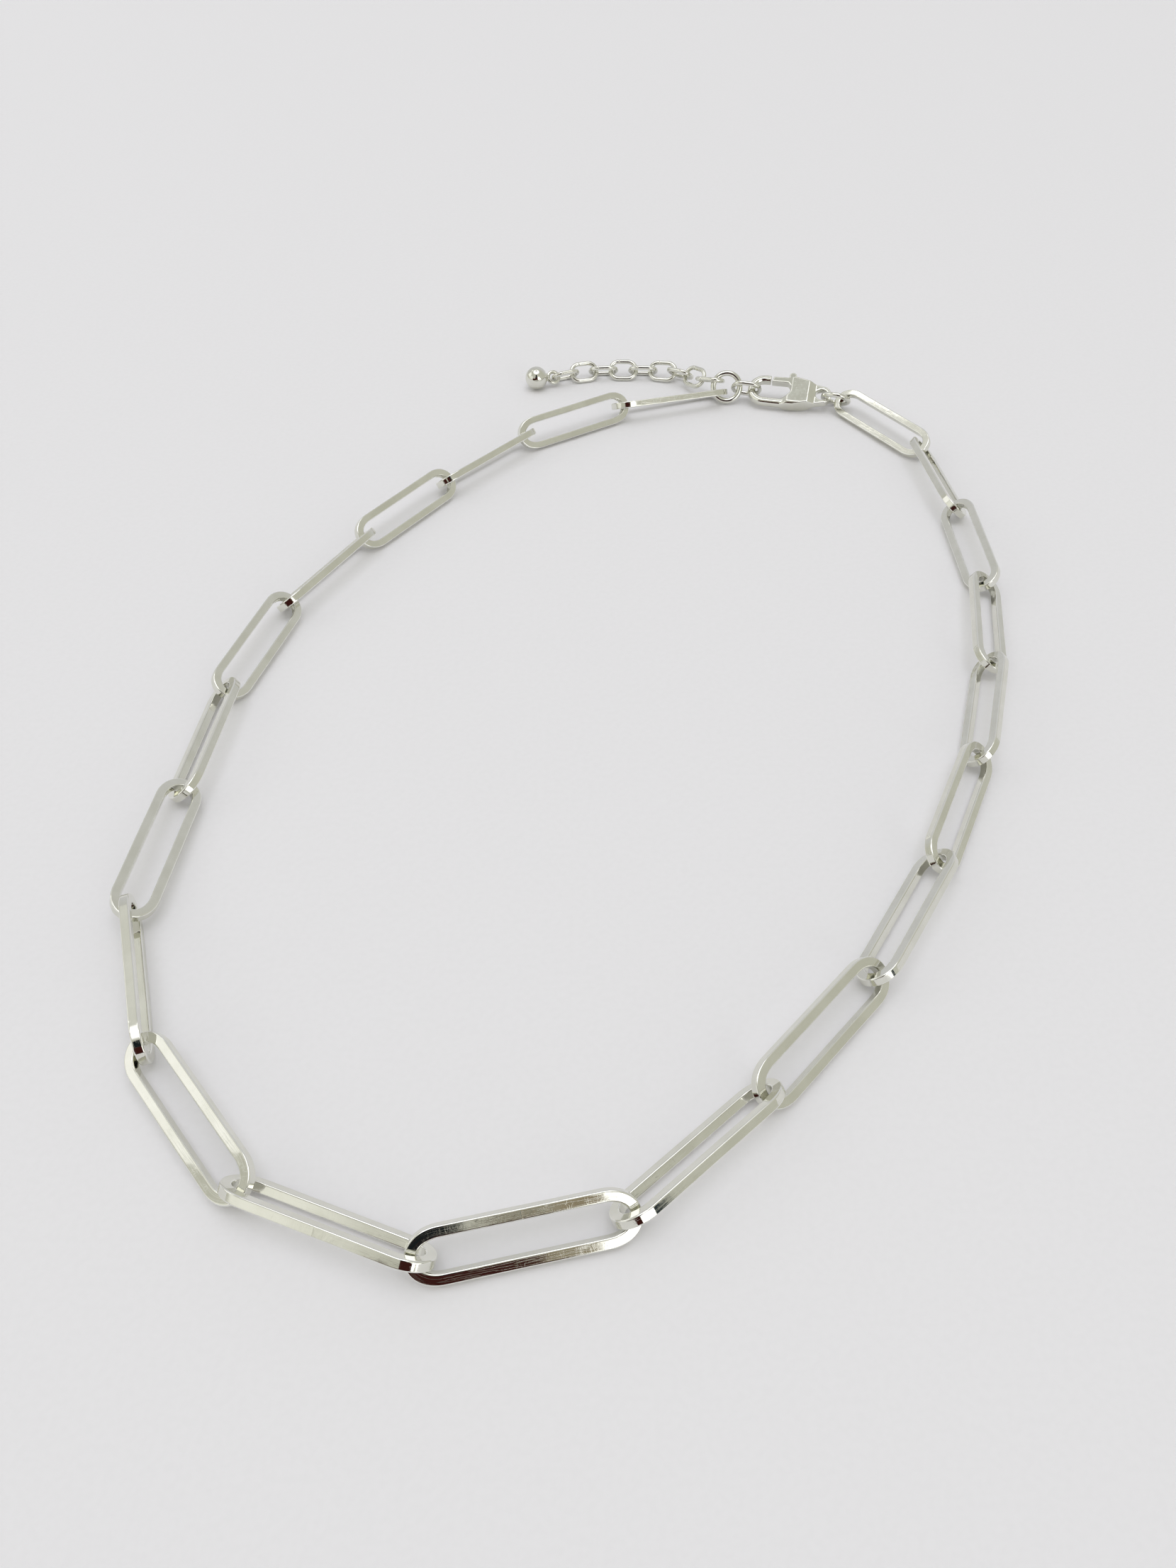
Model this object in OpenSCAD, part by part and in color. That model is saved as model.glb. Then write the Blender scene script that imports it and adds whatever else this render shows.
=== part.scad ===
// Choker of long links in square wire, closed by a lobster clasp at the back, with a short
// extender chain that ends in a drop. It lies open on a table. Millimetres, +Z up, the table
// at z = 0, and the origin on the table under the middle of the whole piece.

/* [Long links] */
// Distance from joint to joint along a long link
link_pitch = 17; // [16.6:0.1:17.4]
// Outer width of a long link
link_w = 4.8; // [4.7:0.05:5]
// Side of its square wire
wire = 1; // [0.9:0.05:1.05]
// Flat along the edges of the square wire
wire_cut = 0.1; // [0.08:0.01:0.15]
// Slack along the chain between two long links that hook
play = 0.65; // [0.65:0.01:0.75]

/* [Rings and small links] */
// Outer diameter of the ring at the end of the chain
ring_d = 5.2; // [5.1:0.05:5.5]
// Round wire of that ring
ring_wire = 0.9; // [0.8:0.05:0.95]
// Outer length of a small oval link
small_l = 5; // [4.95:0.05:5.2]
// Outer width of a small oval link
small_w = 3.5; // [3.45:0.05:3.7]
// Round wire of the small links
small_wire = 0.7; // [0.6:0.05:0.7]
// Outer diameter of the jump ring behind the clasp
jump_d = 4.9; // [4.8:0.05:5.1]
// Round wire of the jump ring
jump_wire = 0.8; // [0.7:0.05:0.8]
// Slack along the chain between two small wires that hook
small_play = 0.3; // [0.3:0.01:0.35]

/* [Clasp] */
// Inner radius of the claw
claw_r = 1.45; // [1.4:0.05:1.5]
// Wall of the claw, seen from above
claw_wall = 1.25; // [1.15:0.05:1.3]
// Thickness of the claw where it holds the small link
claw_t = 1.5; // [1.4:0.05:1.55]
// Thickness of the clasp round the lever
clasp_t = 2.4; // [2.3:0.05:2.6]
// Outer diameter of the eye
eye_d = 3.2; // [3.1:0.05:3.4]
// Hole through the eye
eye_bore = 1.9; // [1.85:0.05:1.95]
// Thickness of the eye
eye_t = 1.1; // [1:0.05:1.15]
// Rivet that the lever turns on
rivet_d = 0.8; // [0.7:0.05:0.85]
// Thickness of the lever
lever_t = 1.3; // [1.2:0.05:1.35]

/* [Drop] */
// Diameter of the ball at the end of the extender
drop_d = 3.6; // [3.4:0.1:4]
// Round wire of the loop on the ball
loop_wire = 0.6; // [0.5:0.05:0.65]

/* [Hidden] */
$fn = 48;

// The long links in order, from the ring round the loop to the clasp: the way each one runs,
// anticlockwise from +X, and how far its upper face leans away from the middle of the loop
WAY = 0;
TIP = 1;
LONG = [
    // left side, from the back to the front
    [199, 30],
    [212.5, -57],
    [228.5, 40],
    [235, -47],
    [241.5, 42],
    [255.5, -36],
    [266, 37],
    [267, -22],
    [289, -87],
    [311, 29],
    [340, -46],
    // front
    [373, 41],
    // right side, from the front to the back
    [402, -41],
    [408, 39],
    [418, -37],
    [424.5, 41],
    [433, -46],
    [440, 31],
    [451, -35],
    [457, 41],
    [484, -36],
];

// The extender's links in order, from the ring to the drop, in the same two columns
EXTENDER = [
    [150, 28],
    [128, -52],
    [138, 42],
    [168, -45],
    [178, 45],
    [180, -45],
    [184, 45],
    [196, -45],
    [204, 45],
];

// How the other pieces at the back lie: an angle on the ring is a place on its wire
ring_tip = 57;        // lean of the ring
chain_hook = 207;     // angle on the ring where the first long link hooks on
extender_hook = 140;  // angle on the ring where the extender hooks on
hook_way = -4;        // way the small link between the ring and the claw runs
hook_tip = -60;       // its lean
clasp_tip = 25;       // lean of the clasp
jump_tip = 44;        // lean of the jump ring
slope = 0.6;          // how far each extender link steps down, until it reaches the table
drop_way = 200;       // way the drop points
drop_tip = -45;       // its lean

// A place is [middle, way it runs, angle it climbs at, lean of its upper face]
AT = 0;
RUN = 1;
RISE = 2;
LEAN = 3;

function ahead(run, rise = 0) = [cos(run) * cos(rise), sin(run) * cos(rise), sin(rise)];
function level(run) = [-sin(run), cos(run), 0];
function upward(run, rise) = [-cos(run) * sin(rise), -sin(run) * sin(rise), cos(rise)];
function aside(p) = cos(p[LEAN]) * level(p[RUN]) + sin(p[LEAN]) * upward(p[RUN], p[RISE]);
function facing(p) = cos(p[LEAN]) * upward(p[RUN], p[RISE]) - sin(p[LEAN]) * level(p[RUN]);
function climb(from_z, to_z, length) = asin((to_z - from_z) / length);

// Height of the middle of a level bar of this half width and thickness that rests on the table
function rest(half_w, half_t, cut, tip) =
    half_w * abs(sin(tip)) + half_t * abs(cos(tip)) - cut * min(abs(sin(tip)), abs(cos(tip)));

// Long links
long_mid = (link_w - wire) / 2;
long_straight = link_pitch + play + 2 * wire - link_w;
last = len(LONG) - 1;
long_rest = [for (row = LONG) rest(link_w / 2, wire / 2, wire_cut, row[TIP])];
// A joint is as high as the higher of its two links rests
function joint_z(i) = max(long_rest[max(i - 1, 0)], long_rest[min(i, last)]);
function long_rise(i) = climb(joint_z(i), joint_z(i + 1), link_pitch);
function joint(i) = i == 0 ? [0, 0, joint_z(0)]
    : joint(i - 1) + link_pitch * ahead(LONG[i - 1][WAY], long_rise(i - 1));
long_places = [
    for (i = [0:last]) [(joint(i) + joint(i + 1)) / 2, LONG[i][WAY], long_rise(i), LONG[i][TIP]]
];
chain_start = joint(0);
chain_end = joint(last + 1);

// Ring
ring_mid = (ring_d - ring_wire) / 2;
function on_ring(angle) = cos(angle) * ahead(0) + sin(angle) * aside([0, 0, 0, ring_tip]);
ring_at = chain_start + (play + ring_wire) / 2 * ahead(LONG[0][WAY], long_rise(0))
    - ring_mid * on_ring(chain_hook);
ring_place = [ring_at, 0, 0, ring_tip];
function hook_on_ring(angle) = ring_at + (ring_mid - (ring_wire + small_play) / 2) * on_ring(angle);

// Small link between the ring and the claw
small_pitch = small_l - 2 * small_wire - small_play;
small_mid = (small_w - small_wire) / 2;
small_straight = small_l - small_w;
clasp_half_w = claw_r + claw_wall;
clasp_cut = 0.35;
clasp_z = rest(clasp_half_w, clasp_t / 2, clasp_cut, clasp_tip);
hook_start = hook_on_ring(0);
hook_rise = climb(hook_start.z, clasp_z, small_pitch);
hook_end = hook_start + small_pitch * ahead(hook_way, hook_rise);
hook_place = [(hook_start + hook_end) / 2, hook_way, hook_rise, hook_tip];

// Clasp and jump ring, on the straight line from the small link to the last long link
closing = chain_end - hook_end;
clasp_way = atan2(closing.y, closing.x);
jump_r = jump_d / 2 - jump_wire;
jump_pitch = 2 * jump_r - (play + small_play) / 2;
jump_rise = climb(chain_end.z, clasp_z, jump_pitch);
jump_ahead = ahead(clasp_way + 180, jump_rise);
eye_joint = chain_end + jump_pitch * jump_ahead;
jump_place = [chain_end + (jump_r - play / 2) * jump_ahead, clasp_way + 180, jump_rise, jump_tip];
clasp_place = [hook_end - small_play / 2 * ahead(clasp_way), clasp_way, 0, clasp_tip];
eye_x = norm(eye_joint - hook_end) + small_play - eye_bore / 2;

// Extender
small_rest = small_mid * abs(sin(EXTENDER[len(EXTENDER) - 1][TIP])) + small_wire / 2;
extender_start = hook_on_ring(extender_hook);
function extender_z(i) = max(small_rest, extender_start.z - i * slope);
function extender_rise(i) = climb(extender_z(i), extender_z(i + 1), small_pitch);
function extender_joint(i) = i == 0 ? extender_start
    : extender_joint(i - 1) + small_pitch * ahead(EXTENDER[i - 1][WAY], extender_rise(i - 1));
extender_places = [
    for (i = [0:len(EXTENDER) - 1])
        [(extender_joint(i) + extender_joint(i + 1)) / 2, EXTENDER[i][WAY], extender_rise(i), EXTENDER[i][TIP]]
];

// Drop, with its loop round the last small link and its ball on the table
loop_r = 0.9;         // middle of the loop's wire
ball_x = 3.4;         // from the last joint to the middle of the ball
drop_start = extender_joint(len(EXTENDER));
drop_place = [drop_start, drop_way, climb(drop_start.z, drop_d / 2, ball_x), drop_tip];

// The whole piece's middle, seen from above: how far each loop reaches along one direction v
function reach(p, v, straight, mid, half_t, half_n) =
    p[AT] * v + straight / 2 * abs(ahead(p[RUN], p[RISE]) * v)
    + (mid + half_t) * norm([ahead(p[RUN], p[RISE]) * v, aside(p) * v]) + half_n * abs(facing(p) * v);
function long_reach(p, v) = max(
    reach(p, v, long_straight, long_mid, wire / 2, wire / 2 - wire_cut),
    reach(p, v, long_straight, long_mid, wire / 2 - wire_cut, wire / 2));
function small_reach(p, v) = reach(p, v, small_straight, small_mid, 0, 0) + small_wire / 2;
function farthest(v) = max(concat(
    [for (p = long_places) long_reach(p, v)],
    [for (p = extender_places) small_reach(p, v)]));
X = [1, 0, 0];
Y = [0, 1, 0];
middle = [farthest(X) - farthest(-X), farthest(Y) - farthest(-Y), 0] / 2;

function name(prefix, i) = str(prefix, i < 9 ? "0" : "", i + 1);

module put(p) {
    translate(p[AT] - middle) rotate([0, 0, p[RUN]]) rotate([0, -p[RISE], 0]) rotate([p[LEAN], 0, 0]) children();
}

// Eight-sided section of this width and thickness, its edges cut
module cut_section(width, thickness, cut) {
    half = [width, thickness] / 2;
    in = half - [cut, cut];
    polygon([
        [half.x, in.y], [in.x, half.y], [-in.x, half.y], [-half.x, in.y],
        [-half.x, -in.y], [-in.x, -half.y], [in.x, -half.y], [half.x, -in.y],
    ]);
}

// Two straight bars and two half-circle ends, from the section given as the child
module bent_loop(straight, mid) {
    for (side = [-1, 1]) {
        translate([side * straight / 2, 0, 0]) rotate(-90 * side) rotate_extrude(angle = 180)
            translate([mid, 0]) children();
        translate([0, side * mid, 0]) rotate([0, 90, 0]) linear_extrude(straight, center = true) children();
    }
}

module long_link() {
    color("#c9cbc0") bent_loop(long_straight, long_mid) cut_section(wire, wire, wire_cut);
}

module small_link() {
    color("#c4c6bb") bent_loop(small_straight, small_mid) circle(d = small_wire);
}

module round_ring(mid, thickness) {
    color("#c4c6bb") rotate_extrude() translate([mid, 0]) circle(d = thickness);
}

// Clasp, with x = 0 at the inner end of the claw, +x towards the eye and +y on the lever's side
pivot = [7, 0.9];
gate_start = 2.3;         // the claw's tip ends here
gate_end = 5.6;           // the opening ends here
block_start = 4;          // the near arm begins to thicken here
shoulder = [6.2, 2.45];   // the body narrows from here to the eye
root_r = 1.1;             // round end of the lever, on the rivet
thumb = [5.65, 2.95];     // middle of the round knob that opens the lever
thumb_r = 0.6;
swing_gap = 0.12;         // round the lever, seen from above
side_gap = 0.1;           // on each side of the lever
rivet_gap = 0.08;

// Hooked end: a half circle and its two arms, the far one short of the lever
module claw() {
    mid = claw_r + claw_wall / 2;
    translate([claw_r, 0, 0]) rotate(90) rotate_extrude(angle = 180)
        translate([mid, 0]) cut_section(claw_wall, claw_t, clasp_cut);
    translate([claw_r, -mid, 0]) rotate([90, 0, 90]) linear_extrude(gate_end - claw_r)
        cut_section(claw_wall, claw_t, clasp_cut);
    translate([claw_r, mid, 0]) rotate([90, 0, 90]) linear_extrude(gate_start - claw_r)
        cut_section(claw_wall, claw_t, clasp_cut);
}

// Rear of the body, from the opening to the eye
module rear_outline() {
    difference() {
        union() {
            polygon([
                [block_start, -clasp_half_w], [shoulder.x, -clasp_half_w], [eye_x, -eye_d / 2],
                [eye_x, eye_d / 2], shoulder, [block_start, shoulder.y],
            ]);
            translate([eye_x, 0]) circle(d = eye_d);
        }
        translate([gate_end - claw_r, 0]) circle(claw_r);
        translate([gate_end - claw_r, 0]) square([claw_r, 2 * clasp_half_w]);
        translate([block_start - 1, -claw_r]) square([gate_end - claw_r - block_start + 1, 2 * clasp_half_w]);
    }
}

// Thickness along the rear of the body: it swells behind the claw and thins to the eye
module rear_profile() {
    waist = eye_x - eye_d / 2;
    upper = [
        [block_start, claw_t / 2 - clasp_cut], [block_start + 1.2, clasp_t / 2], [waist - 0.5, clasp_t / 2],
        [waist + 0.5, eye_t / 2], [eye_x + eye_d, eye_t / 2],
    ];
    count = len(upper);
    polygon(concat(upper, [for (i = [count - 1:-1:0]) [upper[i].x, -upper[i].y]]));
}

// Slot that the lever turns in
module lever_slot() {
    slot_r = root_r + swing_gap;
    translate(pivot) circle(slot_r);
    translate([gate_end - 0.5, pivot.y - slot_r]) square([pivot.x - gate_end + 0.5, 2 * clasp_half_w]);
    translate(pivot) square([slot_r, clasp_half_w]);
}

module clasp_body() {
    color("#bfc2b8") put(clasp_place) {
        claw();
        difference() {
            intersection() {
                linear_extrude(clasp_t, center = true) rear_outline();
                rotate([90, 0, 0]) linear_extrude(3 * clasp_half_w, center = true) rear_profile();
                rotate([90, 0, 90]) linear_extrude(2 * eye_x) cut_section(2 * clasp_half_w, clasp_t, clasp_cut);
            }
            linear_extrude(lever_t + 2 * side_gap, center = true) lever_slot();
            translate([eye_x, 0, 0]) cylinder(d = eye_bore, h = 2 * clasp_t, center = true);
        }
        translate(pivot) cylinder(d = rivet_d, h = clasp_t, center = true);
    }
}

module clasp_lever() {
    inner = claw_r + 0.1;
    outer = clasp_half_w - 0.25;
    nose = [gate_start + swing_gap, inner];
    // The end slants back, so that its outer corner swings past the claw's tip
    nose_back = pivot.x - sqrt(pow(norm(nose - pivot), 2) - pow(outer - pivot.y, 2));
    color("#cfd1c8") put(clasp_place) difference() {
        union() {
            linear_extrude(lever_t, center = true) polygon([
                nose, [nose_back, outer], [thumb.x - 0.7, outer + 0.1],
                thumb, pivot + [0.4, 0.9] * root_r, pivot - [0.7, 0.7] * root_r, [thumb.x - 0.6, inner],
            ]);
            translate(pivot) cylinder(r = root_r, h = lever_t, center = true);
            translate(thumb) cylinder(r = thumb_r, h = lever_t, center = true);
        }
        translate(pivot) cylinder(d = rivet_d + 2 * rivet_gap, h = 2 * clasp_t, center = true);
    }
}

// Turned ball with a neck, and a round loop for the last small link, at x = 0
module end_drop() {
    loop_x = loop_r - loop_wire / 2 - small_play / 2;
    neck_x = loop_x + loop_r;
    color("#c9cbc0") put(drop_place) {
        translate([loop_x, 0, 0]) rotate_extrude() translate([loop_r, 0]) circle(d = loop_wire);
        translate([neck_x, 0, 0]) rotate([0, 90, 0]) cylinder(r1 = 0.45, r2 = 1.3, h = ball_x - drop_d / 3 - neck_x);
        translate([ball_x, 0, 0]) sphere(d = drop_d);
    }
}

for (i = [0:last])
    put(long_places[i]) long_link();
put(ring_place) round_ring(ring_mid, ring_wire);  // end_ring
put(hook_place) small_link();  // hook_link
clasp_body();
clasp_lever();
put(jump_place) round_ring(jump_r + jump_wire / 2, jump_wire);  // jump_ring
for (i = [0:len(EXTENDER) - 1])
    put(extender_places[i]) small_link();
end_drop();
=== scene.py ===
import math
import bpy
import numpy as np
from mathutils import Matrix


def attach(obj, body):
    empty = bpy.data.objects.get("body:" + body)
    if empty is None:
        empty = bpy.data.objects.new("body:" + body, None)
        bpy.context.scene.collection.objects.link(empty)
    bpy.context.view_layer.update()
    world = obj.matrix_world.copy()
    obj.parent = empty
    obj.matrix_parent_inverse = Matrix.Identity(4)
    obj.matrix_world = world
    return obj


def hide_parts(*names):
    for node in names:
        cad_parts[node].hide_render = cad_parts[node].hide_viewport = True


# A choker of long square-wire links with a lobster clasp and a short extender, lying open on
# a pale table. Shapes below are in millimetres and go into the meshes in metres.
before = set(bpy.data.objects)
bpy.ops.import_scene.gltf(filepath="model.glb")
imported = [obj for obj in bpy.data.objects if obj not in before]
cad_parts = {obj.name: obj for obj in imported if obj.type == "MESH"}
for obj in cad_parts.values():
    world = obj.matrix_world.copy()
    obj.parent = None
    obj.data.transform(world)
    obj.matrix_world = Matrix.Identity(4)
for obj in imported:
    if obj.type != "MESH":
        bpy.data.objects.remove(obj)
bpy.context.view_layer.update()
mm = 0.001  # metres
fullTurn = 2 * math.pi
patternGap = 50.0  # mm between the patterns on two pieces' wires
print("frame loaded:", len(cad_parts), "nodes")

longNodes = sorted(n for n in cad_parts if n.startswith("link_"))
smallNodes = ["hook_link"] + sorted(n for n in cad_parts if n.startswith("extender_"))

cameraLook = {
    "place": (-1.973, -113.638, 97.194),  # mm
    "down": 45.973,  # degrees below the horizon
    "turn": -0.707,  # degrees, from looking along +Y towards +X
    "roll": -0.189,  # degrees
    "lens": 27.551,  # mm
    "sensor": 36,  # mm, along the picture's long side
    "nearest": 4,  # mm, closest thing it sees
}


# The camera looks along the line that its turn and its tilt down give, and its level line and
# its upright line are both turned about that line by the roll.
def aimCamera(look):
    down, turn, roll = (math.radians(look[k]) for k in ("down", "turn", "roll"))
    flat = math.cos(down)
    forward = np.array([math.sin(turn) * flat, math.cos(turn) * flat, -math.sin(down)])
    level = np.array([math.cos(turn), -math.sin(turn), 0.0])
    upright = np.cross(level, forward)
    right = level * math.cos(roll) + upright * math.sin(roll)
    up = upright * math.cos(roll) - level * math.sin(roll)
    data = bpy.data.cameras.new("camera")
    data.lens = look["lens"]
    data.sensor_width = look["sensor"]
    data.clip_start = look["nearest"] * mm
    camera = bpy.data.objects.new("camera", data)
    bpy.context.scene.collection.objects.link(camera)
    turnMatrix = Matrix([list(row) for row in np.stack([right, up, -forward], axis=1)]).to_4x4()
    camera.matrix_world = Matrix.Translation([v * mm for v in look["place"]]) @ turnMatrix
    bpy.context.scene.camera = camera


aimCamera(cameraLook)
bpy.context.scene.view_settings.view_transform = "Standard"
print("camera placed")


class Value:
    # A shader socket that takes part in Python arithmetic
    def __init__(self, graph, socket):
        self.graph = graph
        self.socket = socket

    def calculate(self, operation, first, second=0.0):
        return self.graph.add("ShaderNodeMath", {"operation": operation}, [first, second])

    def __add__(self, other):
        return self.calculate("ADD", self, other)

    __radd__ = __add__

    def __sub__(self, other):
        return self.calculate("SUBTRACT", self, other)

    def __rsub__(self, other):
        return self.calculate("SUBTRACT", other, self)

    def __mul__(self, other):
        return self.calculate("MULTIPLY", self, other)

    __rmul__ = __mul__

    def __abs__(self):
        return self.calculate("ABSOLUTE", self)

    def fraction(self):
        return self.calculate("FRACT", self)

    # 0 up to low, 1 from high on, and a smooth rise in between
    def rise(self, low, high):
        return self.graph.add("ShaderNodeMapRange", {"interpolation_type": "SMOOTHSTEP"},
                              {"Value": self, "From Min": low, "From Max": high})


class Graph:
    # The node tree of a material or of the world
    def __init__(self, tree):
        self.tree = tree
        tree.nodes.clear()

    def add(self, kind, settings=None, inputs=None, output=0):
        node = self.tree.nodes.new(kind)
        for key, value in (settings or {}).items():
            setattr(node, key, value)
        pairs = inputs.items() if isinstance(inputs, dict) else enumerate(inputs or [])
        for key, value in pairs:
            if isinstance(value, Value):
                self.tree.links.new(value.socket, node.inputs[key])
            else:
                node.inputs[key].default_value = value
        return Value(self, node.outputs[output]) if node.outputs else node

    def vector(self, x, y, z=0.0):
        return self.add("ShaderNodeCombineXYZ", None, [x, y, z])

    def parts(self, vector):
        split = self.add("ShaderNodeSeparateXYZ", None, [vector])
        return [Value(self, s) for s in split.socket.node.outputs]

    def mapped(self, vector, scale=(1, 1, 1), turn=(0, 0, 0)):
        return self.add("ShaderNodeMapping", None, {"Vector": vector, "Scale": scale, "Rotation": turn})

    def noise(self, vector, scale=1.0, detail=2.0, roughness=0.5):
        return self.add("ShaderNodeTexNoise", None,
                        {"Vector": vector, "Scale": scale, "Detail": detail, "Roughness": roughness})

    # Thin wandering lines, 1 on the line, where a noise crosses its middle value
    def hairlines(self, vector, width, detail=1.0):
        return 1.0 - abs(self.noise(vector, 1.0, detail) - 0.5).rise(0.0, width)

    def blend(self, factor, first, second):
        return self.add("ShaderNodeMix", {"data_type": "RGBA"}, {0: factor, 6: first, 7: second}, 2)

    def dot(self, vector, direction):
        return self.add("ShaderNodeVectorMath", {"operation": "DOT_PRODUCT"}, [vector, direction], 1)

    # A place on the piece, in millimetres
    def placeInMm(self):
        objectPlace = self.add("ShaderNodeTexCoord", None, None, 3)
        return self.mapped(objectPlace, (1 / mm, 1 / mm, 1 / mm))


# What the bright metal mirrors: an even pale room, a lamp on the left, and behind the camera a
# dim part with a lamp beside it. A patch is seen from the table, in degrees: its middle (from
# +Y towards +X, then above the horizon), its half sizes and its soft rim.
roomLook = {
    "walls": (0.575, 0.572, 0.510),
    "ahead": (0.64, 0.64, 0.66),
    "aheadFrom": (0.2, 0.95),  # share of the way from sideways to straight ahead
    "ceiling": (1.92, 1.92, 2.02),  # high up, for round edges and bends
    "ceilingFrom": (60, 74),  # degrees above the horizon
    "backdrop": (0.735, 0.73, 0.735),  # what the camera sees beyond the table
    "patches": [
        {"middle": (2, 78.5), "half": (42, 7.5), "soft": 4, "colour": (0.58, 0.585, 0.55)},
        {"middle": (-50, 52), "half": (17, 12), "soft": 6, "colour": (0.76, 0.76, 0.725)},
        {"middle": (-52.0, 50.7), "half": (3.4, 2.6), "soft": 0.6, "colour": (2.2, 2.2, 2.2)},
        {"middle": (-122, 20), "half": (19, 14), "soft": 8, "colour": (0.95, 0.95, 0.89)},
        {"middle": (138.5, 0), "half": (11.5, 16), "soft": 0.6, "colour": (2.0, 2.0, 2.0)},
        {"middle": (150.2, 18.8), "half": (11.1, 12.5), "soft": 0.6, "colour": (2.0, 2.0, 2.0)},
        {"middle": (119.6, 1.0), "half": (0.75, 7.9), "soft": 0.3, "colour": (0.035, 0.045, 0.05)},
        {"middle": (123.6, 2.0), "half": (3.4, 8.8), "soft": 0.4, "colour": (0.035, 0.045, 0.05)},
        {"middle": (149.1, 31.5), "half": (10.0, 3.0), "soft": 0.5, "colour": (2.0, 2.0, 2.0)},
        {"middle": (160.6, 32.6), "half": (1.6, 1.8), "soft": 0.5, "colour": (0.30, 0.25, 0.17)},
        {"middle": (177.0, 5), "half": (15.1, 26.4), "soft": 0.5, "colour": (0.045, 0.012, 0.010)},
        {"middle": (204.5, -1), "half": (13.1, 19.9), "soft": 0.5, "colour": (0.045, 0.012, 0.010)},
        {"middle": (161.7, 29.8), "half": (1.5, 1.7), "soft": 0.6, "colour": (0.31, 0.27, 0.19)},
        {"middle": (163.9, 32.8), "half": (1.6, 1.4), "soft": 0.6, "colour": (0.30, 0.28, 0.22)},
        {"middle": (178.0, 45), "half": (10.8, 13.6), "soft": 0.4, "colour": (0.010, 0.014, 0.016)},
    ],
}


# The direction at a turn from +Y towards +X and at a height above the horizon, both in degrees
def wayVector(turn, height):
    turn, height = math.radians(turn), math.radians(height)
    flat = math.cos(height)
    return np.array([math.sin(turn) * flat, math.cos(turn) * flat, math.sin(height)])


# The world's colour by direction: walls that change to another tone ahead, the ceiling above
# its two angles, and then one patch over another. A patch's mask is the product of two smooth
# steps, one sideways and one in height.
def lightRoom(look):
    world = bpy.data.worlds.new("room")
    bpy.context.scene.world = world
    world.use_nodes = True
    graph = Graph(world.node_tree)
    direction = graph.add("ShaderNodeTexCoord", None, None, 0)
    height = graph.dot(direction, (0.0, 0.0, 1.0))
    front = graph.dot(direction, (0.0, 1.0, 0.0))
    colour = graph.blend(front.rise(*look["aheadFrom"]), (*look["walls"], 1), (*look["ahead"], 1))
    low, high = (math.sin(math.radians(v)) for v in look["ceilingFrom"])
    colour = graph.blend(height.rise(low, high), colour, (*look["ceiling"], 1))
    elevation = height.calculate("ARCSINE", height)
    for patch in look["patches"]:
        turn, middle = patch["middle"]
        ahead, right = wayVector(turn, 0), wayVector(turn + 90, 0)
        along, across = graph.dot(direction, tuple(ahead)), graph.dot(direction, tuple(right))
        sideways = height.calculate("ARCTAN2", across, along)
        mask = 1.0
        for offset, half in zip((sideways, elevation - math.radians(middle)), patch["half"]):
            inner, outer = (math.radians(half + s * patch["soft"] / 2) for s in (-1, 1))
            mask = mask * (1.0 - abs(offset).rise(inner, outer))
        colour = graph.blend(mask, colour, (*patch["colour"], 1))
    seen = graph.add("ShaderNodeLightPath", None, None, 0)
    colour = graph.blend(seen, colour, (*look["backdrop"], 1))
    background = graph.add("ShaderNodeBackground", None, {"Color": colour, "Strength": 1.0})
    graph.add("ShaderNodeOutputWorld", None, {"Surface": background})


lightRoom(roomLook)

softboxLook = {
    "way": (-82.7, 30),  # as the patches above
    "distance": 1.2,  # metres
    "size": 0.64,
    "power": 0.72,
    "colour": (1.0, 1.0, 1.06),
}


# A square lamp at its distance in its direction, facing the origin
def hangSoftbox(name, look):
    data = bpy.data.lights.new(name, "AREA")
    data.shape = "SQUARE"
    data.size = look["size"]
    data.energy = look["power"]
    data.color = look["colour"]
    light = bpy.data.objects.new(name, data)
    bpy.context.scene.collection.objects.link(light)
    away = wayVector(*look["way"])
    level = np.cross([0, 0, 1], away)
    level = level / np.linalg.norm(level)
    axes = np.stack([level, np.cross(away, level), away], axis=1)
    turnMatrix = Matrix([list(row) for row in axes]).to_4x4()
    light.matrix_world = Matrix.Translation(list(away * look["distance"])) @ turnMatrix


hangSoftbox("softbox", softboxLook)
print("room and softbox lit")


# A smooth mesh from points in millimetres and lists of corners
def makeMesh(name, points, faces):
    mesh = bpy.data.meshes.new(name)
    mesh.from_pydata((points * mm).tolist(), [], faces)
    mesh.polygons.foreach_set("use_smooth", np.ones(len(mesh.polygons), bool))
    obj = bpy.data.objects.new(name, mesh)
    bpy.context.scene.collection.objects.link(obj)
    return obj


# Faces of a closed tube on a grid: row i runs along the path, column j round the section, and
# both wrap. Each face's corners go along, then round, so it looks away from the wire.
def tubeFaces(rows, columns):
    i, j = np.meshgrid(np.arange(rows), np.arange(columns), indexing="ij")
    nextI, nextJ = (i + 1) % rows, (j + 1) % columns
    row, nextRow = i * columns, nextI * columns
    quads = np.stack([row + j, nextRow + j, nextRow + nextJ, row + nextJ], -1)
    return i.ravel(), j.ravel(), quads.reshape(-1, 4)


# A bend from one bar to the other: over its length its outward normal turns from -90 to 90
# degrees, by the sum of an even turn and a sine that slows it by the ease next to the bars.
# The points are the running sum of the direction at right angles to that normal.
def bendTable(radius, ease, count=961):
    t = np.linspace(-1, 1, count)
    turn = math.pi / 2 * (t + ease * np.sin(math.pi * t) / math.pi)
    steps = np.stack([-np.sin(turn), np.cos(turn)], -1)
    line = np.concatenate([[[0, 0]], np.cumsum((steps[1:] + steps[:-1]) / 2, axis=0)])
    scale = 2 * radius / line[-1, 1]
    line = line * scale
    return {"length": scale * (count - 1), "line": line, "turn": turn, "reach": line[:, 0].max()}


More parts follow.
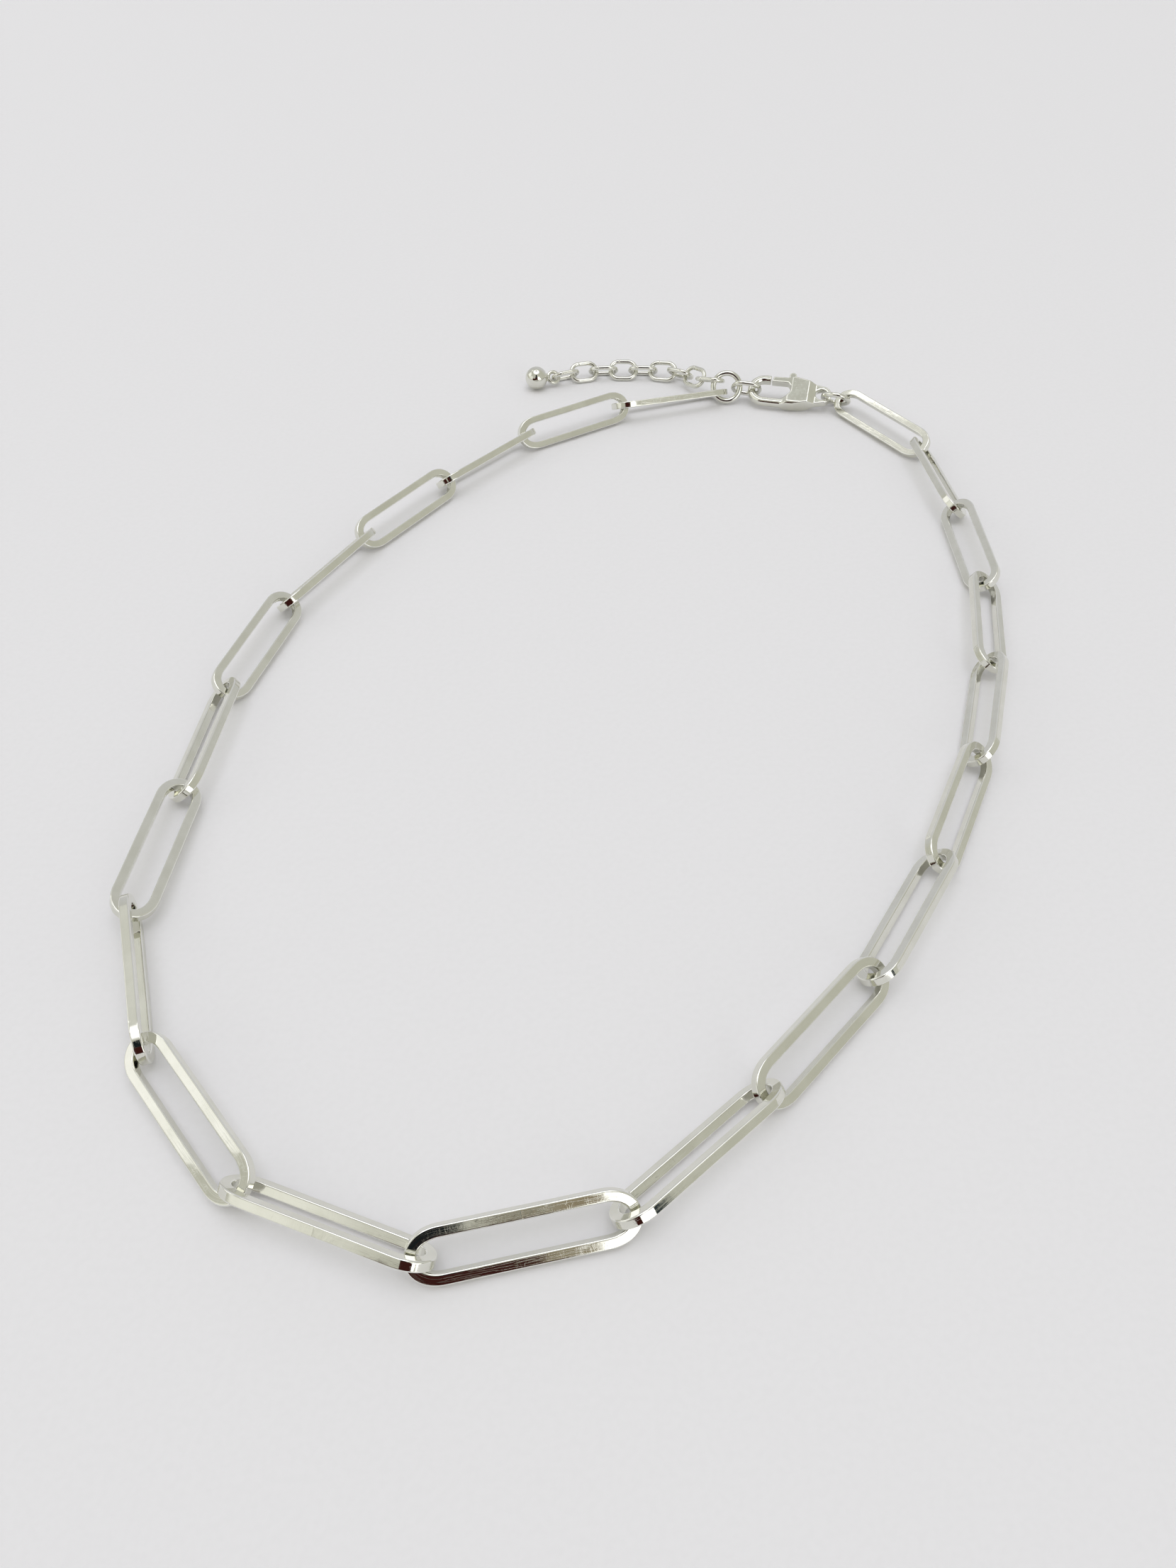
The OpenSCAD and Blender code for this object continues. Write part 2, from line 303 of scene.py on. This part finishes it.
# A stadium at distance s along it: a bar towards +x at y = -radius, a bend, the bar back at
# y = +radius and another bend. Gives the point, its outward normal, and how far round a bend
# it is (0 on a bar, 1 in the middle of a bend).
def stadium(s, straight, radius, bend):
    halfWay = straight + bend["length"]
    half = np.mod(s, 2 * halfWay) >= halfWay  # second bar and bend
    local = np.mod(s, halfWay)
    share = np.clip(local - straight, 0, None) / bend["length"] * (len(bend["turn"]) - 1)
    known = np.arange(len(bend["turn"]))
    angle = np.interp(share, known, bend["turn"])
    x = np.minimum(local, straight) - straight / 2 + np.interp(share, known, bend["line"][:, 0])
    y = np.interp(share, known, bend["line"][:, 1]) - radius
    normal = np.stack([np.cos(angle), np.sin(angle)], -1)
    sign = (1 - 2.0 * half)[:, None]
    return np.stack([x, y], -1) * sign, normal * sign, np.cos(angle)


seamSteps = np.array([0.0, 0.025, 0.05, 0.09, 0.14])  # mm on each side of a seam


# Distances along the stadium, even on each bar and each bend, with some more close to a seam
def stadiumSteps(straight, bend, barSteps, bendSteps, seam=None):
    half = straight + bend["length"]
    edges = [0, straight, half, half + straight, 2 * half]
    counts = [barSteps, bendSteps, barSteps, bendSteps]
    steps = [np.linspace(a, b, n, endpoint=False) for a, b, n in zip(edges, edges[1:], counts) if b > a]
    if seam is not None:
        steps += [seam - seamSteps, seam + seamSteps]
    return np.unique(np.round(np.concatenate(steps), 4))


# A square with round corners and a slight crown: each face bows out by the crown in its
# middle. Starts on a corner, so that position round it counts faces: 0 to 4.
def squareSection(side, corner, crown, cornerSteps=3):
    half = side / 2
    flat = half - corner
    before = np.radians(np.linspace(-45, 0, cornerSteps + 1)[:-1])
    after = np.radians(np.linspace(0, 45, cornerSteps + 1)[1:-1])
    face = flat * np.array([-1, -0.93, -0.5, 0, 0.5, 0.93, 1])  # close together next to the corners
    a = np.concatenate([flat + corner * np.cos(before), 0 * face + half, flat + corner * np.cos(after)])
    b = np.concatenate([-flat + corner * np.sin(before), face, flat + corner * np.sin(after)])
    quarter = np.stack([a * (1 - crown * b * b / half ** 3), b * (1 - crown * a * a / half ** 3)], -1)
    corners = [fullTurn * q / 4 for q in range(4)]
    turns = [np.array([[math.cos(q), math.sin(q)], [-math.sin(q), math.cos(q)]]) for q in corners]
    outline = np.concatenate([quarter @ t for t in turns])
    lengths = np.linalg.norm(np.roll(outline, -1, 0) - outline, axis=1)
    around = 4 * np.concatenate([[0], np.cumsum(lengths)]) / lengths.sum()
    return outline, around


# A circle, with position round it from 0 to 4 as on the square
def roundSection(thickness, steps=20):
    angle = np.linspace(0, fullTurn, steps, endpoint=False)
    return np.stack([np.cos(angle), np.sin(angle)], -1) * thickness / 2, np.linspace(0, 4, steps + 1)


# Middle and three axes (long, wide, thin) of a node that is the same on both sides of each:
# the second moments of its surface, triangle by triangle, have those axes.
def placeOf(node):
    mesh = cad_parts[node].data
    points = np.zeros(len(mesh.vertices) * 3)
    mesh.vertices.foreach_get("co", points)
    points = points.reshape(-1, 3) / mm
    mesh.calc_loop_triangles()
    corners = np.zeros(len(mesh.loop_triangles) * 3, int)
    mesh.loop_triangles.foreach_get("vertices", corners)
    triangles = points[corners.reshape(-1, 3)]
    sides = triangles[:, 1:] - triangles[:, :1]
    areas = np.linalg.norm(np.cross(sides[:, 0], sides[:, 1]), axis=1)
    middle = (triangles.mean(1) * areas[:, None]).sum(0) / areas.sum()
    local = triangles - middle
    sums = local.sum(1)
    moments = np.einsum("t,tci,tcj->ij", areas, local, local)
    moments = moments + np.einsum("t,ti,tj->ij", areas, sums, sums)
    axes = np.linalg.eigh(moments)[1][:, ::-1].T
    if axes[2][2] < 0:
        axes[2] = -axes[2]
    axes[1] = np.cross(axes[2], axes[0])
    return middle, axes, (points - middle) @ axes.T


# A section carried round a stadium: the point at distance s is on the path, and the section's
# first direction is the path's outward normal, its second the loop's own normal.
def carriedLoop(name, middle, axes, path, section, shape):
    steps, (line, normal, bent) = path
    outline, around = section
    a = outline[None, :, 0] * shape["wide"][:, None]
    b = outline[None, :, 1] * shape["thick"][:, None]
    b = b * (1 - shape["pinch"] * bent[:, None] * (0.5 + a))  # a bend draws the outer face in
    twist = shape["twist"][:, None]
    a, b = a * np.cos(twist) - b * np.sin(twist), a * np.sin(twist) + b * np.cos(twist)
    sway = normal[:, None] * shape["sway"][:, None, None]
    flat = line[:, None] + normal[:, None] * a[..., None] + sway
    points = middle + flat[..., :1] * axes[0] + flat[..., 1:] * axes[1] + b[..., None] * axes[2]
    i, j, quads = tubeFaces(len(steps), len(outline))
    alongEnds = np.append(steps, shape["total"] + steps[0]) + shape["start"]
    u = np.stack([alongEnds[i], alongEnds[i + 1], alongEnds[i + 1], alongEnds[i]], -1)
    v = np.stack([around[j], around[j], around[j + 1], around[j + 1]], -1)
    piece = makeMesh(name, points.reshape(-1, 3), quads.tolist())
    layer = piece.data.uv_layers.new(name="wire")
    layer.data.foreach_set("uv", np.stack([u, v], -1).astype(np.float32).ravel())
    layer = piece.data.attributes.new("solder", "FLOAT", "POINT")
    layer.data.foreach_set("value", np.repeat(shape["solder"], len(outline)).astype(np.float32))
    return piece


linkLook = {
    "wire": 1.0,  # side of the square wire
    "corner": 0.15,  # radius along its edges
    "crown": 0.001,  # how far each face bows out
    "ease": 0.45,  # how gently a bar runs into a bend: 0 is a plain half circle
    "pinch": 0.05,  # narrowing of the outer face in a bend
    "sway": 0.008,  # how far a bar wanders from straight
    "twist": 0.15,  # degrees, how far a bar turns about itself
    "solderSpread": 3.2,  # mm of rougher metal on each side of the seam
    "seamSwell": 0.004,  # swelling of the soldered seam, in the middle of one bar
    "seamWidth": 0.08,  # mm, half width of the seam
    "barSteps": 16,
    "bendSteps": 40,
    "seed": 100,  # of the sways and twists, one more for each link
}


# A long link: the square carried round the eased stadium that fits the node's own box. The bars
# sway by a sine of four waves a link and turn about themselves by a product of two sines.
def makeLongLink(node, index, look):
    middle, axes, local = placeOf(node)
    size = local.max(0) - local.min(0)
    wire = look["wire"]
    radius = (size[1] - wire) / 2
    bend = bendTable(radius, look["ease"])
    straight = size[0] - wire - 2 * bend["reach"]
    total = 2 * (straight + bend["length"])
    seam = straight / 2 + ((index + 1) % 2) * total / 2
    steps = stadiumSteps(straight, bend, look["barSteps"], look["bendSteps"], seam)
    line, normal, bent = stadium(steps, straight, radius, bend)
    random = np.random.default_rng(look["seed"] + index)
    phase = random.uniform(0, fullTurn, 4)
    turns = fullTurn * steps / total
    onBar = 1 - bent
    swell = look["seamSwell"] * np.exp(-((steps - seam) / look["seamWidth"]) ** 2)
    twist = np.radians(look["twist"]) * np.sin(3 * turns + phase[1])
    shape = {
        "total": total,
        "start": patternGap * index,
        "solder": np.exp(-((steps - seam) / look["solderSpread"]) ** 2),
        "wide": 1 + swell,
        "thick": 1 + swell,
        "pinch": look["pinch"],
        "sway": look["sway"] * (np.sin(4 * turns + phase[0]) - 1) / 2 * onBar,
        "twist": twist * np.cos(turns + phase[2]) * onBar,
    }
    section = squareSection(wire, look["corner"], look["crown"])
    return carriedLoop(node + "_wire", middle, axes, (steps, (line, normal, bent)), section, shape)


longLinks = []
for index, node in enumerate(longNodes):
    piece = makeLongLink(node, index, linkLook)
    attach(piece, "chain")
    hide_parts(node)
    longLinks.append(piece)
print("long links:", len(longLinks))

ringLook = {
    "seamWidth": 0.035,  # half width of the cut where the wire's ends meet
    "seamDepth": 0.13,  # share of the wire's thickness
    "seamAt": (0.12, 0.49),  # share of the way round, for every other piece
    "solderSpread": 0.4,  # mm of rougher metal on each side of the seam
    "wander": 0.008,  # mm, how far the loop is from true
    "barSteps": 6,
    "bendSteps": 26,
    "seed": 300,
}


# A ring or a small oval link: a round wire carried round the stadium that fits the node's box,
# with a narrow cut where its ends meet. Its wire wanders from true by a sine of two waves.
def makeRoundLoop(node, index, look):
    middle, axes, local = placeOf(node)
    size = local.max(0) - local.min(0)
    wire = size[2]
    radius = (size[1] - wire) / 2
    straight = size[0] - size[1]
    if straight < wire / 8:  # a ring
        straight = 0.0
        radius = (size[:2].mean() - wire) / 2
    bend = bendTable(radius, 0.0)
    total = 2 * (straight + bend["length"])
    seam = look["seamAt"][index % 2] * total
    steps = stadiumSteps(straight, bend, look["barSteps"], look["bendSteps"], seam)
    random = np.random.default_rng(look["seed"] + index)
    phase = random.uniform(0, fullTurn, 2)
    turns = fullTurn * steps / total
    cut = 1 - look["seamDepth"] * np.exp(-((steps - seam) / look["seamWidth"]) ** 2)
    shape = {
        "total": total,
        "start": patternGap * index,
        "solder": np.exp(-((steps - seam) / look["solderSpread"]) ** 2),
        "wide": cut,
        "thick": cut,
        "pinch": 0.0,
        "sway": look["wander"] * (np.sin(2 * turns + phase[0]) - 1),
        "twist": np.zeros(len(steps)),
    }
    path = steps, stadium(steps, straight, radius, bend)
    return carriedLoop(node + "_wire", middle, axes, path, roundSection(wire), shape)


roundLoops = {}
for index, node in enumerate(smallNodes + ["end_ring", "jump_ring"]):
    piece = makeRoundLoop(node, index, ringLook)
    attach(piece, "chain")
    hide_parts(node)
    roundLoops[node] = piece
print("rings and small links:", len(roundLoops))

dropLook = {
    "loopWire": 0.6,
    "loopMiddle": 0.9,  # radius of the loop's wire
    "loopSteps": 28,
    "ball": 3.6,
    "neck": 0.45,  # radius of the neck next to the loop
    "neckEnd": 0.75,  # where the neck ends, in ball radii from the ball's middle
    "neckWide": 0.62,  # its radius there, in ball radii
    "flare": 2.3764706,  # how late the neck widens: 1 is a plain cone
    "tip": 0.25,  # mm, round end of the neck, inside the loop's wire
    "sunk": 0.3,  # how deep that end is in the wire, in wires
    "patternFrom": 900.0,  # mm, where the pattern on its wire starts
    "steps": 56,
    "rows": 60,
}


# A turned shape: row i is a circle of radius r(i) at distance x(i) along the first axis, and
# both ends run down to a point.
def turnedShape(name, start, axes, x, r, steps):
    angle = np.linspace(0, fullTurn, steps, endpoint=False)
    ring = np.cos(angle)[:, None] * axes[1] + np.sin(angle)[:, None] * axes[2]
    body = start + x[1:-1, None, None] * axes[0] + r[1:-1, None, None] * ring[None]
    points = np.concatenate([[start + x[0] * axes[0]], body.reshape(-1, 3), [start + x[-1] * axes[0]]])
    rows = len(x) - 2
    i, j = np.meshgrid(np.arange(rows - 1), np.arange(steps), indexing="ij")
    nextJ = (j + 1) % steps
    row, nextRow = 1 + i * steps, 1 + (i + 1) * steps
    quads = np.stack([row + j, row + nextJ, nextRow + nextJ, nextRow + j], -1)
    k = np.arange(steps)
    last = len(points) - 1
    first = np.stack([0 * k, 1 + (k + 1) % steps, 1 + k], -1)
    final = np.stack([0 * k + last, last - steps + k, last - steps + (k + 1) % steps], -1)
    return makeMesh(name, points, quads.reshape(-1, 4).tolist() + first.tolist() + final.tolist())


# The drop: a wire loop, and a turned neck and ball. The neck's radius grows by a power of the
# distance along it, and the larger of neck and ball is the surface.
def makeDrop(node, look):
    middle, axes, local = placeOf(node)
    if local[:, 0].max() > -local[:, 0].min():  # the ball, the heavy end, is near the middle
        axes[:2] = -axes[:2]
        local[:, :2] = -local[:, :2]
    loopRadius = look["loopMiddle"]
    outer = loopRadius + look["loopWire"] / 2
    loopMiddle = middle + (local[:, 0].min() + outer) * axes[0]
    bend = bendTable(loopRadius, 0.0)
    steps = stadiumSteps(0.0, bend, 1, look["loopSteps"])
    flat = np.zeros(len(steps))
    shape = {
        "total": fullTurn * loopRadius,
        "start": look["patternFrom"],
        "solder": flat,
        "wide": flat + 1,
        "thick": flat + 1,
        "pinch": 0.0,
        "sway": flat,
        "twist": flat,
    }
    path = steps, stadium(steps, 0.0, loopRadius, bend)
    loop = carriedLoop(node + "_loop", loopMiddle, axes, path, roundSection(look["loopWire"]), shape)
    ballRadius = look["ball"] / 2
    ballAt = local[:, 0].max() - ballRadius
    start = local[:, 0].min() + outer + loopRadius - look["loopWire"] * look["sunk"]
    turn = (1 - np.cos(np.linspace(0, math.pi, look["rows"]))) / 2
    x = start + (local[:, 0].max() - start) * turn
    ball = np.sqrt(np.maximum(ballRadius ** 2 - (x - ballAt) ** 2, 0))
    neckEnd = ballAt - ballRadius * look["neckEnd"]
    rise = np.clip((x - start) / (neckEnd - start), 0, 1.2)
    neck = look["neck"] + (ballRadius * look["neckWide"] - look["neck"]) * rise ** look["flare"]
    fromTip = np.clip((x - start) / look["tip"], 0, 1)
    neck = neck * np.sqrt(1 - (1 - fromTip) ** 2)
    r = np.where(x < neckEnd + look["neck"] / 3, np.maximum(neck, ball), ball)
    return loop, turnedShape(node + "_ball", middle, axes, x, r, look["steps"])


dropPieces = makeDrop("end_drop", dropLook)
for piece in dropPieces:
    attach(piece, "chain")
    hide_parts("end_drop")
print("drop made")

claspLook = {
    "grain": 0.05,  # mm between points of the smoothed cast surface
    "leverGrain": 0.04,
    "smoothing": 64,  # how many times it is smoothed
    "sheenFrom": 0.5,  # how sharply a point bulges, from no painted sheen on it
    "sheenTo": 2.5,  # to the full painted sheen of an edge
}


# A cast and tumbled copy of a node: the node's own solid as an even skin of small squares,
# with every edge worn round. A point attribute holds how much of an edge each point is: how
# far the point stands out of the mean of its neighbours along its normal; it masks a painted sheen.
def tumbledCopy(node, name, grain, look):
    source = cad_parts[node].data.copy()
    copy = bpy.data.objects.new(name, source)
    bpy.context.scene.collection.objects.link(copy)
    weld = copy.modifiers.new("weld", "WELD")
    weld.merge_threshold = 1e-6
    skin = copy.modifiers.new("skin", "REMESH")
    skin.mode = "VOXEL"
    skin.voxel_size = grain * mm
    skin.use_smooth_shade = True
    wear = copy.modifiers.new("wear", "SMOOTH")
    wear.factor = 0.5
    wear.iterations = look["smoothing"]
    depsgraph = bpy.context.evaluated_depsgraph_get()
    mesh = bpy.data.meshes.new_from_object(copy.evaluated_get(depsgraph))
    copy.modifiers.clear()
    copy.data = mesh
    points = np.zeros(len(mesh.vertices) * 3)
    mesh.vertices.foreach_get("co", points)
    normals = np.zeros(len(mesh.vertices) * 3)
    mesh.vertices.foreach_get("normal", normals)
    edges = np.zeros(len(mesh.edges) * 2, int)
    mesh.edges.foreach_get("vertices", edges)
    points, normals, edges = points.reshape(-1, 3) / mm, normals.reshape(-1, 3), edges.reshape(-1, 2)
    sums, counts = np.zeros(points.shape), np.zeros(len(points))
    for a, b in ((0, 1), (1, 0)):
        np.add.at(sums, edges[:, a], points[edges[:, b]])
        np.add.at(counts, edges[:, a], 1)
    bulge = (normals * (points - sums / counts[:, None])).sum(1) / grain ** 2
    edge = np.clip((bulge - look["sheenFrom"]) / (look["sheenTo"] - look["sheenFrom"]), 0, 1)
    layer = mesh.attributes.new("edge", "FLOAT", "POINT")
    layer.data.foreach_set("value", edge.astype(np.float32))
    print(name, len(points), "points")
    return copy


claspPieces = {}
for node, slot, body, grain in (("clasp_body", "clasp_metal", "chain", claspLook["grain"]),
                                ("clasp_lever", "lever_metal", "lever", claspLook["leverGrain"])):
    piece = tumbledCopy(node, node + "_tumbled", grain, claspLook)
    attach(piece, body)
    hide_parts(node)
    claspPieces[node] = piece

linkFinish = {
    "colour": (0.80, 0.798, 0.733),
    "shade": (0.74, 0.738, 0.665),  # in soft clouds
    "edge": (0.93, 0.93, 0.90),  # painted sheen: a lighter colour along the edges
    # how much of the painted edge sheen is mixed in
    "edgeSheenShare": 0.6,
    "stain": (0.42, 0.39, 0.30),  # in a few small spots
    "stainShare": 0.35,
    "roughness": 0.03,
    "haze": 0.025,  # roughness added in patches
    "lineHaze": 0.035,  # roughness added on scratches
    "depth": 0.000006,  # metres, of a bump of 1; the rest are shares of it
    "lines": 0.10,  # scratches along the wire
    "crossLines": 0.08,
    "drawn": 0.045,  # fine lines of the wire's drawing
    "pebbles": 0.45,
    "solderPebbles": 1.6,  # how much more beside a seam
    "waves": 0.2,
}


# A polished metal: the wire's own UV map, or the place on a cast piece, carries the lines that
# drawing and wear leave; clouds, patches, pebbles and waves are noises of the place in mm.
def makeMetal(name, look, edgeAttribute=None):
    material = bpy.data.materials.new(name)
    material.use_nodes = True
    graph = Graph(material.node_tree)
    place = graph.placeInMm()
    if edgeAttribute:
        spots = graph.parts(graph.mapped(place, (1, 1, 1), (0.4, 0.3, 0.2)))
        along, around = spots[0], spots[1]
        corner = graph.add("ShaderNodeAttribute", {"attribute_name": edgeAttribute}, None, 2)
    else:
        wire = graph.parts(graph.add("ShaderNodeUVMap", {"uv_map": "wire"}))
        along, around = wire[0], wire[1]
        corner = abs(around.fraction() - 0.5).rise(0.36, 0.46)
    clouds = graph.noise(place, 0.35, 3)  # tones some 3 mm across
    patches = graph.noise(place, 2.2, 4, 0.6)  # half a millimetre
    drawn = graph.noise(graph.vector(along * 0.5, around * 14), 1.0, 4, 0.65)
    longLines = graph.hairlines(graph.vector(along * 0.22, around * 5.0, 3.0), 0.022)
    crossLines = graph.hairlines(graph.vector(along * 2.4, around * 0.7, 9.0), 0.012)
    fade = graph.noise(place, 0.8, 2).rise(0.45, 0.65)  # where there are cross lines and pebbles
    solder = graph.add("ShaderNodeAttribute", {"attribute_name": "solder"}, None, 2)
    pebbles = graph.noise(place, 2.6, 3, 0.6)
    waves = graph.noise(place, 0.9, 2, 0.5)
    stains = patches.rise(0.66, 0.80) * clouds.rise(0.5, 0.7)
    colour = graph.blend(clouds.rise(0.3, 0.7), (*look["colour"], 1), (*look["shade"], 1))
    # painted sheen: the corners and edges are mixed towards a lighter colour
    colour = graph.blend(corner * look["edgeSheenShare"], colour, (*look["edge"], 1))
    colour = graph.blend(stains * look["stainShare"], colour, (*look["stain"], 1))
    lines = longLines + crossLines * fade
    roughness = look["roughness"] + drawn * 0.02 + patches.rise(0.45, 0.75) * look["haze"]
    roughness = roughness + lines * look["lineHaze"] - corner * 0.01 + solder * 0.03
    pebbled = fade * 0.2 + solder * look["solderPebbles"]
    height = drawn * look["drawn"] + pebbles * pebbled * look["pebbles"] + waves * look["waves"]
    height = height - longLines * look["lines"] - crossLines * fade * look["crossLines"]
    bump = graph.add("ShaderNodeBump", None, {
        "Strength": 1.0, "Distance": look["depth"], "Height": height})
    shader = graph.add("ShaderNodeBsdfPrincipled", None, {
        "Base Color": colour, "Metallic": 1.0, "Roughness": roughness, "Normal": bump})
    graph.add("ShaderNodeOutputMaterial", None, {"Surface": shader})
    return material


# One material for the whole piece
def paint(obj, material):
    obj.data.materials.clear()
    obj.data.materials.append(material)


linkMetal = makeMetal("polished_square_wire", linkFinish)
for piece in longLinks:
    paint(piece, linkMetal)
smallMetal = makeMetal("polished_round_wire", {**linkFinish, "roughness": 0.05, "pebbles": 0.3})
for piece in [*roundLoops.values(), dropPieces[0]]:
    paint(piece, smallMetal)
claspMetal = makeMetal("tumbled_clasp", {**linkFinish, "roughness": 0.10, "haze": 0.10}, "edge")
leverMetal = makeMetal("polished_lever", {**linkFinish, "roughness": 0.07}, "edge")
dropMetal = makeMetal("turned_ball", {**linkFinish, "roughness": 0.04, "waves": 0.6}, "edge")
paint(claspPieces["clasp_body"], claspMetal)
paint(claspPieces["clasp_lever"], leverMetal)
paint(dropPieces[1], dropMetal)
print("metals made")

tableLook = {
    "colour": (0.94, 0.935, 0.965),
    "mottle": 0.985,  # share of the colour that its darker grain keeps
    "roughness": 0.85,
    "radii": (0.25, 0.5, 1.0, 2.0, 3.0),  # metres, of the rings of its faces
    "steps": 96,
}


# A flat disc: rings of points round the origin, joined from the middle outwards
def layTable(look):
    steps, radii = look["steps"], look["radii"]
    angle = np.linspace(0, fullTurn, steps, endpoint=False)
    rings = [np.stack([r * np.cos(angle), r * np.sin(angle), 0 * angle], -1) for r in radii]
    points = np.concatenate([[[0, 0, 0]], *rings])
    faces = [(0, 1 + j, 1 + (j + 1) % steps) for j in range(steps)]
    for k in range(len(radii) - 1):
        a, b = 1 + k * steps, 1 + (k + 1) * steps
        faces += [(a + j, b + j, b + (j + 1) % steps, a + (j + 1) % steps) for j in range(steps)]
    mesh = bpy.data.meshes.new("table_top")
    mesh.from_pydata(points.tolist(), [], faces)
    table = bpy.data.objects.new("table_top", mesh)
    bpy.context.scene.collection.objects.link(table)
    material = bpy.data.materials.new("pale_table")
    material.use_nodes = True
    graph = Graph(material.node_tree)
    grain = graph.noise(graph.placeInMm(), 1.6, 3)
    darker = [c * look["mottle"] for c in look["colour"]]
    colour = graph.blend(grain.rise(0.3, 0.7), (*darker, 1), (*look["colour"], 1))
    bump = graph.add("ShaderNodeBump", None, {"Strength": 0.15, "Distance": 0.0001, "Height": grain})
    shader = graph.add("ShaderNodeBsdfPrincipled", None, {
        "Base Color": colour, "Roughness": look["roughness"], "Normal": bump,
        "Specular IOR Level": 0.2})
    graph.add("ShaderNodeOutputMaterial", None, {"Surface": shader})
    paint(table, material)


layTable(tableLook)
print("table laid")
